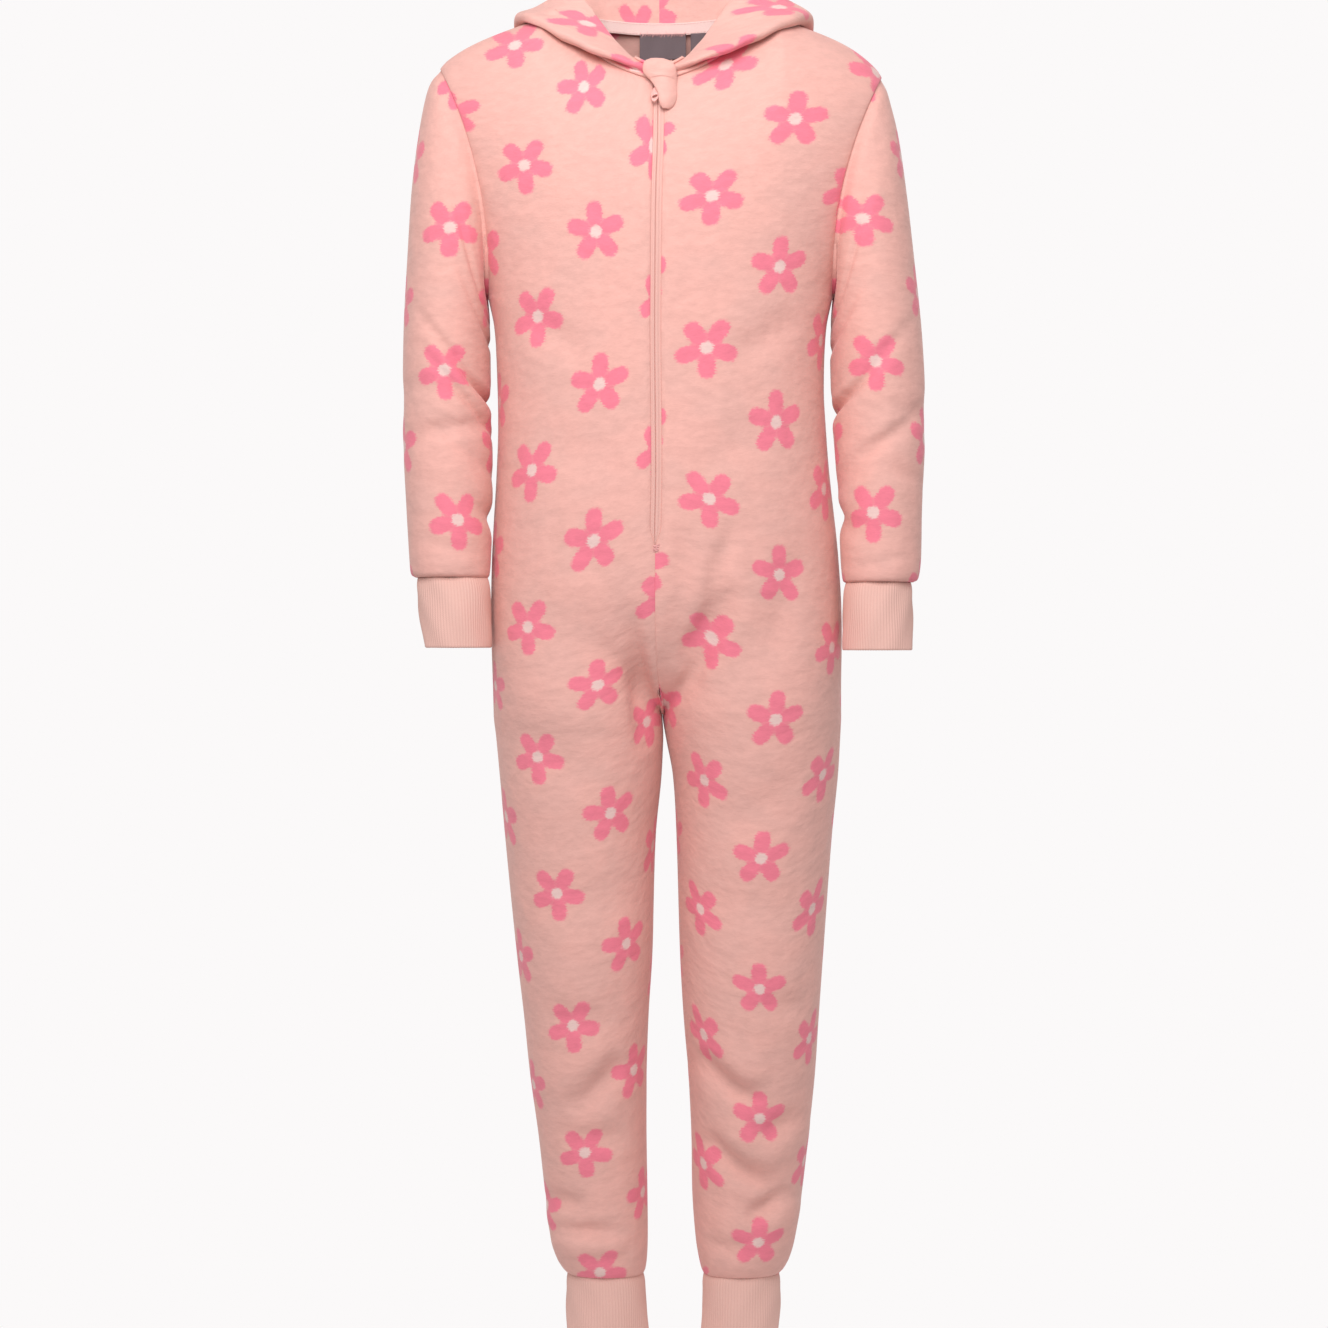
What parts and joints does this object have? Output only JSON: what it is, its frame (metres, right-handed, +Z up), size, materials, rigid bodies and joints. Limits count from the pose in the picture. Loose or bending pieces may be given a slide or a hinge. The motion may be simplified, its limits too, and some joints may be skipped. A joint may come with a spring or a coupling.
{
  "type": "onesie pajama",
  "caption": "Child's hooded one-piece pajama in flowered plush fleece with zip front and ribbed cuffs, filled out as worn, hood down.",
  "frame": {"origin": "between the shoulders, level with the bottom of the neck opening's sides, where the wearer's shoulders hold the garment", "axes": "+Z up the wearer's body, -Y the garment's front, +X the wearer's left"},
  "size_m": [0.4303, 0.2279, 1.1634],
  "materials": {
    "fleece": "salmon pink plush fleece with a printed repeat of pink five-petal flowers, soft matt nap",
    "rib": "plain salmon pink rib knit",
    "tape": "salmon pink woven tape",
    "label": "bare grey woven satin label",
    "painted_metal": "zip slider and pull painted to match the cloth"
  },
  "bodies": {
    "root": {"front_right": "fleece", "front_left": "fleece", "back_right": "fleece", "back_left": "fleece", "sleeve_right": "fleece", "sleeve_left": "fleece", "hood_right": "fleece", "hood_left": "fleece", "zip_guard": "fleece", "cuff_sleeve_right": "rib", "cuff_sleeve_left": "rib", "cuff_leg_right": "rib", "cuff_leg_left": "rib", "zip_right": "tape", "zip_left": "tape", "neck_tape": "tape", "label_brand": "label", "label_size": "label", "zip_slider": "painted_metal", "zip_pull": "painted_metal"}
  },
  "joints": []
}
